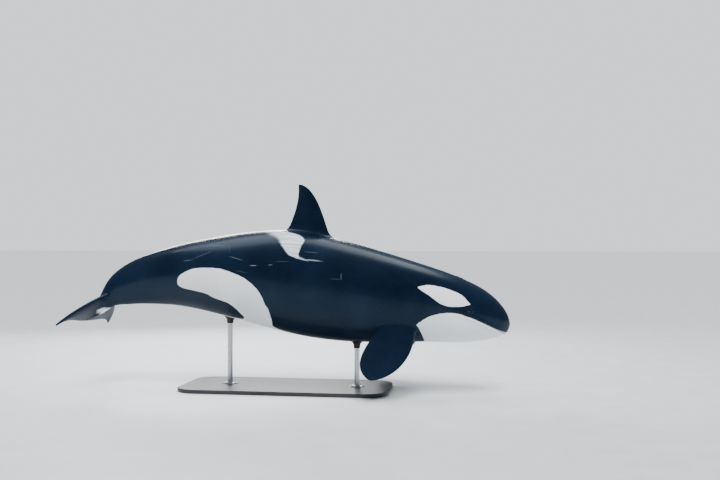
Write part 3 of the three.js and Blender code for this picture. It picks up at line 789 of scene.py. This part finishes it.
def paintMarks(points, normals, fins):
    # values on each vertex that the skin's material reads
    places = placesOf(points)
    fraction, turn, outness = places
    mirrored, half = leftHalf(points), (fraction, np.abs(turn))
    offFins = (offBody["from"] - outness) * offBody["metres"]
    white = np.minimum(markGap(mirrored, half, whiteOutline()), offFins)
    white = np.maximum(white, np.minimum(markGap(mirrored, half, eyePatch), offFins))
    # the flukes' undersides are white only near the root; black over the rest of their white is painted shade
    white = np.maximum(white, flukeUnderside(points, normals, fins))
    softness = np.interp(fraction, saddleFade["at"], saddleFade["metres"])
    saddle = np.minimum(markGap(mirrored, half, saddlePatch), offFins) / softness
    return {"white": white, "saddle": saddle, "flow": flowOf(points, places, fins)}


# Skin: the cage smoothed, with finer faces and real folds at the head
def newObject(name, bm):
    mesh = bpy.data.meshes.new(name)
    bm.to_mesh(mesh)
    bm.free()
    mesh.shade_smooth()
    made = bpy.data.objects.new(name, mesh)
    studio.collection.objects.link(made)
    return made


def newPiece(name, bm, replaced=()):
    made = newObject(name, bm)
    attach(made, "root")
    if replaced:
        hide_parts(*replaced)
    return made


def smoothCage(bm):
    cage = newObject("cage", bm)
    smooth = cage.modifiers.new("smooth", "SUBSURF")
    smooth.levels = smooth.render_levels = body["smoothing"]
    fine = bmesh.new()
    fine.from_object(cage, bpy.context.evaluated_depsgraph_get())
    bpy.data.objects.remove(cage)
    return fine


def makeSkin(fins):
    bm = bmesh.new()
    makeCage(bm, fins)
    openEdges = sum(len(edge.link_faces) != 2 for edge in bm.edges)
    print("cage:", len(bm.faces), "faces,", openEdges, "open edges")
    bm = smoothCage(bm)
    grooves, at = makeGrooves(), eyeFrame()
    refineSkin(bm, grooves, at)
    points, normals = vertPoints(bm), vertNormals(bm)
    marks = paintMarks(points, normals, fins)
    half = leftHalf(points)
    push = sum(pushGroove(half, groove) for groove in grooves) + pushLids(half, at)
    for vert, place in zip(bm.verts, points + normals * push[:, None]):
        vert.co = place
    print("skin:", sum(len(face.verts) - 2 for face in bm.faces), "triangles")
    made = newPiece("skin", bm, (
        "head", "lower_jaw", "chest", "belly", "tail", "dorsal_fin",
        "flipper_right", "flipper_left", "fluke_right", "fluke_left"))
    for name, values in marks.items():
        isVector = values.ndim > 1
        layer = made.data.attributes.new(name, "FLOAT_VECTOR" if isVector else "FLOAT", "POINT")
        layer.data.foreach_set("vector" if isVector else "value", values.ravel())
    return made


fins = placeFins()
skin = makeSkin(fins)


# Eyes: a ball with a cornea, its pole turned outward
def makeEyeball(side, name):
    centre, outward, _, _ = eyeFrame()
    mirror = Vector((1, side, 1))
    low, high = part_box("eye_left")
    radius = (high[2] - low[2]) / 2
    bm = bmesh.new()
    bmesh.ops.create_uvsphere(bm, u_segments=eye["segments"], v_segments=eye["rings"], radius=radius)
    fromAxis = []
    for vert in bm.verts:
        away = math.hypot(vert.co.x, vert.co.y)
        if vert.co.z > 0:
            vert.co.z += eye["cornea"] * max(0, 1 - (away / (eye["iris"] * eye["corneaOver"])) ** 2)
        fromAxis.append(away if vert.co.z > 0 else radius)
    turned = Vector((0, 0, 1)).rotation_difference(outward * mirror)
    bmesh.ops.rotate(bm, verts=bm.verts, matrix=turned.to_matrix(), cent=(0, 0, 0))
    bmesh.ops.translate(bm, verts=bm.verts, vec=centre * mirror)
    made = newPiece(name, bm, ["eye_left" if side > 0 else "eye_right"])
    made.data.attributes.new("fromAxis", "FLOAT", "POINT").data.foreach_set("value", fromAxis)
    return made


eyeballs = [makeEyeball(-1, "eyeball_right"), makeEyeball(1, "eyeball_left")]
print("eyes:", len(eyeballs))


# Stand: rubber cups that hold the belly and screws in the rods' feet; base and rods stay the solids
cup = {
    "radius": 0.085, "neck": 0.041, "neckSwell": 0.004, "waist": 0.72, "tall": 0.085,
    "waistAt": -0.02, "lipFrom": -0.004, "lip": 0.006, "lipTo": 0.016,  # heights, where 0 is the belly's skin
    "sink": 0.006, "segments": 48,
}
screw = {
    "radius": 0.0095, "tall": 0.008, "edge": 0.0015, "segments": 24,
    "socket": 0.0052, "socketDepth": 0.005, "socketFlat": 0.88,
    "around": 6, "ring": 0.072, "foot": 0.014,  # how many, on what radius, and the height of the rod's foot
}
toTop = Vector((0, 0, 1))


def rodPlace(name):
    low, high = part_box(name)
    return Vector(((low[0] + high[0]) / 2, (low[1] + high[1]) / 2, low[2]))


def makeCup(name, rod, belly):
    # a flared rubber cup whose upper edge follows the belly
    foot = rodPlace(rod)
    top, _, _, _ = belly.ray_cast(foot, toTop)
    profile = [(cup["neck"], -cup["tall"]), (cup["neck"] + cup["neckSwell"], -cup["tall"] * 0.5),
               (cup["radius"] * cup["waist"], cup["waistAt"]), (cup["radius"], cup["lipFrom"]),
               (cup["radius"] + cup["lip"], cup["lip"]), (cup["radius"], cup["lipTo"])]
    bm = bmesh.new()
    chain = [bm.verts.new((radius, 0, z)) for radius, z in profile]
    edges = [bm.edges.new(pair) for pair in zip(chain, chain[1:])]
    bmesh.ops.spin(bm, geom=chain + edges, axis=(0, 0, 1), cent=(0, 0, 0), angle=2 * math.pi,
                   steps=cup["segments"], use_merge=True)
    rims = sorted(bm.verts, key=lambda vert: vert.co.z)
    for end in (rims[:cup["segments"]], rims[-cup["segments"]:]):
        bmesh.ops.contextual_create(bm, geom=end)
    bmesh.ops.recalc_face_normals(bm, faces=bm.faces)
    for vert in bm.verts:
        share = softStep((vert.co.z + cup["tall"]) / cup["tall"])
        overhead, _, _, _ = belly.ray_cast(foot + Vector((vert.co.x, vert.co.y, 0)), toTop)
        rise = (overhead.z if overhead else top.z) - top.z
        vert.co.z += top.z + rise * share + cup["sink"] * share
        vert.co.x += foot.x
        vert.co.y += foot.y
    return newPiece(name, bm)


def makeScrews(name, rod):
    # socket screws round a rod's foot
    foot = rodPlace(rod)
    bm = bmesh.new()
    bmesh.ops.create_cone(bm, cap_ends=True, segments=screw["segments"], radius1=screw["radius"],
                          radius2=screw["radius"], depth=screw["tall"])
    bmesh.ops.translate(bm, verts=bm.verts, vec=(0, 0, screw["tall"] / 2))
    top = max(bm.faces, key=lambda face: face.calc_center_median().z)
    bmesh.ops.bevel(bm, geom=list(top.edges), offset=screw["edge"], offset_type="OFFSET", segments=2,
                    affect="EDGES", profile=0.5, material=-1)
    top = max(bm.faces, key=lambda face: face.calc_center_median().z)
    bmesh.ops.inset_region(bm, faces=[top], thickness=screw["radius"] - screw["edge"] - screw["socket"])
    for vert in top.verts:
        # the inner ring becomes a hexagon
        angle = math.atan2(vert.co.y, vert.co.x) % (math.pi / 3) - math.pi / 6
        out = screw["socket"] * screw["socketFlat"] / math.cos(angle)
        flat = Vector((vert.co.x, vert.co.y, 0)).normalized() * out
        vert.co.x, vert.co.y = flat.x, flat.y
    sunk = bmesh.ops.extrude_discrete_faces(bm, faces=[top])["faces"][0]
    bmesh.ops.translate(bm, verts=sunk.verts, vec=(0, 0, -screw["socketDepth"]))
    bmesh.ops.translate(bm, verts=bm.verts, vec=(screw["ring"], 0, foot.z + screw["foot"]))
    one = list(bm.verts) + list(bm.edges) + list(bm.faces)
    turn = Quaternion((0, 0, 1), 2 * math.pi / screw["around"]).to_matrix()
    for _ in range(screw["around"] - 1):
        one = bmesh.ops.duplicate(bm, geom=one)["geom"]
        bmesh.ops.rotate(bm, verts=[item for item in one if isinstance(item, bmesh.types.BMVert)],
                         matrix=turn, cent=(0, 0, 0))
    bmesh.ops.translate(bm, verts=bm.verts, vec=(foot.x, foot.y, 0))
    bmesh.ops.recalc_face_normals(bm, faces=bm.faces)
    made = newPiece(name, bm)
    made.data.shade_flat()
    return made


def skinTree(made):
    # a tree of the faces, in which the cups look for the belly
    bm = bmesh.new()
    bm.from_mesh(made.data)
    tree = BVHTree.FromBMesh(bm)
    bm.free()
    return tree


belly = skinTree(skin)
cups = [makeCup("stand_cup_" + end, "stand_rod_" + end, belly) for end in ("front", "rear")]
screws = [makeScrews("stand_screws_" + end, "stand_rod_" + end) for end in ("front", "rear")]
print("stand:", len(cups), "cups,", len(screws), "rings of screws")


# Materials: a few lines make a node with its values and links
def addNode(tree, kind, values=None, **settings):
    node = tree.nodes.new("ShaderNode" + kind)
    for name, value in settings.items():
        setattr(node, name, value)
    for name, value in (values or {}).items():
        socket = node.inputs[name]
        if isinstance(value, bpy.types.NodeSocket):
            tree.links.new(value, socket)
        else:
            socket.default_value = value
    return node


def mixColour(tree, share, first, second):
    node = addNode(tree, "Mix", data_type="RGBA")
    for index, value in ((0, share), (6, first), (7, second)):
        if isinstance(value, bpy.types.NodeSocket):
            tree.links.new(value, node.inputs[index])
        else:
            node.inputs[index].default_value = value if index == 0 else (*value, 1)
    return node.outputs[2]


def calculate(tree, operation, first, second=0.0, clamp=False):
    return addNode(tree, "Math", {0: first, 1: second}, operation=operation, use_clamp=clamp).outputs[0]


def ranged(tree, value, fromLow, fromHigh, toLow=0.0, toHigh=1.0):
    values = {"Value": value, "From Min": fromLow, "From Max": fromHigh, "To Min": toLow, "To Max": toHigh}
    return addNode(tree, "MapRange", values, interpolation_type="SMOOTHSTEP").outputs["Result"]


def newGroup(name, inputs, outputs):
    tree = bpy.data.node_groups.new(name, "ShaderNodeTree")
    for socket, kind in inputs.items():
        tree.interface.new_socket(socket, in_out="INPUT", socket_type="NodeSocket" + kind)
    for socket in outputs:
        tree.interface.new_socket(socket, in_out="OUTPUT", socket_type="NodeSocketFloat")
    return tree, tree.nodes.new("NodeGroupInput").outputs, tree.nodes.new("NodeGroupOutput").inputs


def grainGroup():
    # broad clouds and fine grain, which can be drawn out along one direction
    tree, given, out = newGroup("surfaceGrain", {"Vector": "Vector", "Stretch": "Vector", "Scale": "Float"},
                                ["Broad", "Fine"])
    drawn = addNode(tree, "VectorMath", {0: given["Vector"], 1: given["Stretch"]}, operation="MULTIPLY")
    broad = addNode(tree, "TexNoise", {"Vector": given["Vector"], "Scale": 1.7, "Detail": 4.0})
    fine = addNode(tree, "TexNoise", {"Vector": drawn.outputs[0], "Scale": given["Scale"],
                                      "Detail": 5.0, "Roughness": 0.6})
    tree.links.new(broad.outputs[0], out["Broad"])
    tree.links.new(fine.outputs[0], out["Fine"])
    return tree


def strokeGroup():
    # a thin pale stroke between two places, pointed at its ends
    tree, given, out = newGroup("paleStroke", {"Vector": "Vector", "Start": "Vector", "End": "Vector",
                                               "Width": "Float"}, ["Mask"])

    def vector(operation, first, second):
        return addNode(tree, "VectorMath", {0: first, 1: second}, operation=operation)

    line = vector("SUBTRACT", given["End"], given["Start"]).outputs[0]
    away = vector("SUBTRACT", given["Vector"], given["Start"]).outputs[0]
    dot = vector("DOT_PRODUCT", away, line).outputs["Value"]
    share = calculate(tree, "DIVIDE", dot, vector("DOT_PRODUCT", line, line).outputs["Value"], clamp=True)
    onLine = addNode(tree, "VectorMath", {0: line, "Scale": share}, operation="SCALE").outputs[0]
    gap = vector("DISTANCE", away, onLine).outputs["Value"]
    fromMiddle = calculate(tree, "ABSOLUTE", calculate(tree, "SUBTRACT", share, 0.5))
    width = calculate(tree, "MULTIPLY", given["Width"], ranged(tree, fromMiddle, 0.5, 0.1, 0.15, 1.0))
    ragged = addNode(tree, "TexNoise", {"Vector": given["Vector"], "Scale": 90.0, "Detail": 3.0}).outputs[0]
    wornGap = calculate(tree, "MULTIPLY", gap, ranged(tree, ragged, 0.3, 0.7, 0.8, 1.4))
    fromLine = calculate(tree, "DIVIDE", wornGap, width)
    tree.links.new(calculate(tree, "SUBTRACT", 1.0, fromLine, clamp=True), out["Mask"])
    return tree


grain, stroke = grainGroup(), strokeGroup()


def newMaterial(name, **constants):
    material = bpy.data.materials.new(name)
    material.use_nodes = True
    tree = material.node_tree
    shader = tree.nodes["Principled BSDF"]
    for socket, value in constants.items():
        shader.inputs[socket.replace("_", " ")].default_value = value
    return material, tree, shader.inputs


def useGroup(tree, group, values):
    node = addNode(tree, "Group", node_tree=group)
    for name, value in values.items():
        if isinstance(value, bpy.types.NodeSocket):
            tree.links.new(value, node.inputs[name])
        else:
            node.inputs[name].default_value = value
    return node.outputs


def useGrain(tree, place, stretch, scale):
    return useGroup(tree, grain, {"Vector": place, "Stretch": stretch, "Scale": scale})


def attribute(tree, name, output="Fac"):
    return addNode(tree, "Attribute", attribute_name=name).outputs[output]


skinFinish = {
    "black": (0.0014, 0.0042, 0.011), "blueBlack": (0.0045, 0.011, 0.025),
    "white": (0.86, 0.89, 0.9), "creamWhite": (0.78, 0.8, 0.79),
    "greyWhite": (0.52, 0.56, 0.59),
    "saddle": (0.72, 0.77, 0.82), "saddleShade": (0.34, 0.4, 0.47),
    "scar": (0.35, 0.42, 0.5),
    "edge": 0.003, "ragged": 0.0007,  # metres over which white runs out, and by which its border wavers
    "streaks": ((2.0, 34.0, 6.0), 1.6), "hairlines": ((1.1, 75.0, 12.0), 2.2),  # stretch and scale
    "pores": ((1.0, 1.0, 1.0), 110.0),
    "saddleWaver": 0.12, "saddleCover": 0.93,
    "roughness": (0.25, 0.34), "whiteDull": 0.1, "underDull": 0.42,  # white and undersides shine less
}


def skinMaterial():
    material, tree, shader = newMaterial("orcaSkin", Coat_Weight=0.12, Coat_Roughness=0.15, IOR=1.4,
                                         Specular_IOR_Level=0.32, Specular_Tint=(0.36, 0.66, 1.0, 1))
    look = skinFinish
    place = addNode(tree, "TexCoord").outputs["Object"]
    flow = attribute(tree, "flow", "Vector")
    streaks = useGrain(tree, flow, *look["streaks"])
    hairlines = useGrain(tree, flow, *look["hairlines"])
    pores = useGrain(tree, place, *look["pores"])
    wave = addNode(tree, "TexNoise", {"Vector": place, "Scale": 22.0, "Detail": 3.0}).outputs[0]

    ragged = ranged(tree, wave, 0.3, 0.7, -look["ragged"], look["ragged"])
    whiteEdge = calculate(tree, "ADD", attribute(tree, "white"), ragged)
    isWhite = ranged(tree, whiteEdge, -look["edge"], look["edge"])
    waver = ranged(tree, streaks["Fine"], 0.3, 0.7, -look["saddleWaver"], look["saddleWaver"])
    isSaddle = ranged(tree, calculate(tree, "ADD", attribute(tree, "saddle"), waver), -0.9, 1.0)

    mottle = calculate(tree, "ADD", calculate(tree, "MULTIPLY", pores["Broad"], 0.55),
                       calculate(tree, "MULTIPLY", pores["Fine"], 0.45))
    black = mixColour(tree, ranged(tree, mottle, 0.36, 0.64), look["black"], look["blueBlack"])
    white = mixColour(tree, ranged(tree, mottle, 0.44, 0.6), look["white"], look["creamWhite"])
    greyShare = ranged(tree, hairlines["Fine"], 0.6, 0.74, 0.0, 0.35)
    white = mixColour(tree, greyShare, white, look["greyWhite"])
    saddle = mixColour(tree, ranged(tree, streaks["Fine"], 0.35, 0.62), look["saddleShade"], look["saddle"])
    scratch = calculate(tree, "MULTIPLY", ranged(tree, hairlines["Fine"], 0.66, 0.74),
                        ranged(tree, hairlines["Broad"], 0.5, 0.62, 0.0, 0.16))
    for f1, t1, f2, t2, width, strength in scars:
        points = skinPoints(np.array([f1, f2]), np.array([t1, t2]))
        start, end = flowOf(points, placesOf(points), fins)
        mask = useGroup(tree, stroke, {"Vector": flow, "Start": start, "End": end, "Width": width})["Mask"]
        scratch = calculate(tree, "MAXIMUM", scratch, calculate(tree, "MULTIPLY", mask, strength))
    colour = mixColour(tree, scratch, black, look["scar"])
    colour = mixColour(tree, calculate(tree, "MULTIPLY", isSaddle, look["saddleCover"]), colour, saddle)
    colour = mixColour(tree, isWhite, colour, white)
    tree.links.new(colour, shader["Base Color"])

    sheen = ranged(tree, streaks["Broad"], 0.3, 0.7, *look["roughness"])
    facing = addNode(tree, "SeparateXYZ", {0: addNode(tree, "NewGeometry").outputs["Normal"]}).outputs["Z"]
    dull = calculate(tree, "MAXIMUM", calculate(tree, "MULTIPLY", isWhite, look["whiteDull"]),
                     ranged(tree, facing, -0.1, -0.7, 0.0, look["underDull"]))
    tree.links.new(calculate(tree, "ADD", sheen, dull), shader["Roughness"])
    bump = addNode(tree, "Bump", {"Height": pores["Fine"], "Strength": 0.12, "Distance": 0.002})
    tree.links.new(bump.outputs[0], shader["Normal"])
    return material


eyeFinish = {
    "pupil": (0.002, 0.002, 0.003), "rim": (0.004, 0.004, 0.005), "white": (0.014, 0.013, 0.016),
    "iris": (0.011, 0.006, 0.003), "irisLight": (0.03, 0.015, 0.008),
    "fibres": ((1.0, 1.0, 1.0), 420.0),
    "edge": 0.001,  # metres over which the colours run into each other, either way
}


def eyeMaterial():
    material, tree, shader = newMaterial("eyeGloss", Coat_Weight=0.55, Coat_Roughness=0.03, IOR=1.4,
                                         Specular_IOR_Level=0.3)
    look = eyeFinish
    away = attribute(tree, "fromAxis")
    place = addNode(tree, "TexCoord").outputs["Object"]
    fibres = useGrain(tree, place, *look["fibres"])
    iris = mixColour(tree, ranged(tree, fibres["Fine"], 0.4, 0.65), look["iris"], look["irisLight"])
    edge = look["edge"]
    isIris = ranged(tree, away, eye["pupil"] - edge / 2, eye["pupil"] + edge / 2)
    isRim = ranged(tree, away, eye["iris"] - 3 * edge, eye["iris"] - edge)
    isBall = ranged(tree, away, eye["iris"] + edge, eye["iris"] + 6 * edge)
    colour = mixColour(tree, isIris, look["pupil"], iris)
    colour = mixColour(tree, isRim, colour, look["rim"])
    colour = mixColour(tree, isBall, colour, look["white"])
    tree.links.new(colour, shader["Base Color"])
    tree.links.new(ranged(tree, fibres["Fine"], 0.3, 0.7, 0.08, 0.16), shader["Roughness"])
    return material


def plainMaterial(name, dark, light, rough, stretch, scale, bumpDistance, **constants):
    # one finish with clouded colour, grain in its gloss and a fine relief
    material, tree, shader = newMaterial(name, **constants)
    place = addNode(tree, "TexCoord").outputs["Object"]
    detail = useGrain(tree, place, stretch, scale)
    share = calculate(tree, "MULTIPLY_ADD", detail["Fine"], 0.5)
    tree.links.new(calculate(tree, "MULTIPLY", detail["Broad"], 0.5), share.node.inputs[2])
    tree.links.new(mixColour(tree, ranged(tree, share, 0.35, 0.65), dark, light), shader["Base Color"])
    tree.links.new(ranged(tree, detail["Fine"], 0.3, 0.7, *rough), shader["Roughness"])
    bump = addNode(tree, "Bump", {"Height": detail["Fine"], "Strength": 0.3, "Distance": bumpDistance})
    tree.links.new(bump.outputs[0], shader["Normal"])
    return material


even = (1.0, 1.0, 1.0)
finishes = {
    "skin": skinMaterial(),
    "eye": eyeMaterial(),
    "base": plainMaterial("satinBlackPaint", (0.016, 0.017, 0.019), (0.026, 0.027, 0.03), (0.36, 0.46),
                          even, 380.0, 0.0004),
    "steel": plainMaterial("brushedSteel", (0.52, 0.53, 0.54), (0.66, 0.67, 0.68), (0.24, 0.38),
                           (1.0, 1.0, 40.0), 9.0, 0.0002, Metallic=1.0),
    "rubber": plainMaterial("cupRubber", (0.012, 0.012, 0.013), (0.022, 0.022, 0.023), (0.55, 0.7),
                            even, 300.0, 0.0005),
    "floor": plainMaterial("paleFloor", (0.7, 0.715, 0.73), (0.74, 0.755, 0.77), (0.5, 0.6),
                           even, 3.0, 0.0001),
}


def dress(made, finish):
    made.data.materials.clear()
    made.data.materials.append(finishes[finish])


def dressNode(name, finish):
    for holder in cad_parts[name].material_slots:
        holder.material = finishes[finish]


dress(skin, "skin")
for ball in eyeballs:
    dress(ball, "eye")
for piece in cups:
    dress(piece, "rubber")
for piece in screws:
    dress(piece, "steel")
dressNode("stand_base", "base")
for rod in ("stand_rod_front", "stand_rod_rear"):
    dressNode(rod, "steel")
print("finishes:", len(finishes))


# Studio: camera where the photo was taken from, pale floor, soft lights overhead and behind
view = {"lens": 46.9, "place": (2.86, -11.934, 1.937), "turn": 9}
floorReach = 150
lamps = {
    "overhead": {"place": (-0.6, 1.4, 6.6), "size": (9.0, 3.0), "power": 330, "aim": (0, 0, 1.4)},
    "behind": {"place": (-3.0, 7.0, 4.4), "size": (6.0, 2.5), "power": 700, "aim": (-0.4, 0, 1.6)},
}
ceilingGlow = {"power": 5.2, "spread": 40, "turn": (30, 0, 14)}
surround = {"light": (0.17, 0.22, 0.28), "seen": (1.18, 1.23, 1.28)}

lens = bpy.data.cameras.new("camera")
lens.sensor_width = 36
lens.lens = view["lens"]
camera = bpy.data.objects.new("camera", lens)
studio.collection.objects.link(camera)
camera.location = view["place"]
camera.rotation_euler = (math.pi / 2, 0, math.radians(view["turn"]))
studio.camera = camera

bm = bmesh.new()
bmesh.ops.create_grid(bm, x_segments=1, y_segments=1, size=floorReach)
floor = newObject("floor", bm)
dress(floor, "floor")

for name, lamp in lamps.items():
    light = bpy.data.lights.new(name, "AREA")
    light.shape = "RECTANGLE"
    light.size, light.size_y = lamp["size"]
    light.energy = lamp["power"]
    holder = bpy.data.objects.new(name, light)
    holder.location = lamp["place"]
    toAim = Vector(lamp["aim"]) - Vector(lamp["place"])
    holder.rotation_euler = toAim.to_track_quat("-Z", "Y").to_euler()
    studio.collection.objects.link(holder)
sun = bpy.data.lights.new("ceiling", "SUN")
sun.energy = ceilingGlow["power"]
sun.angle = math.radians(ceilingGlow["spread"])
ceiling = bpy.data.objects.new("ceiling", sun)
ceiling.rotation_euler = [math.radians(value) for value in ceilingGlow["turn"]]
ceiling.visible_glossy = False  # it lights the white, while the lamps alone show as highlights
studio.collection.objects.link(ceiling)

world = bpy.data.worlds.new("studio")
world.use_nodes = True
worldTree = world.node_tree
isSeen = addNode(worldTree, "LightPath").outputs["Is Camera Ray"]
backdrop = mixColour(worldTree, isSeen, surround["light"], surround["seen"])
worldTree.links.new(backdrop, worldTree.nodes["Background"].inputs["Color"])
studio.world = world
print("studio:", len(lamps) + 1, "lights")
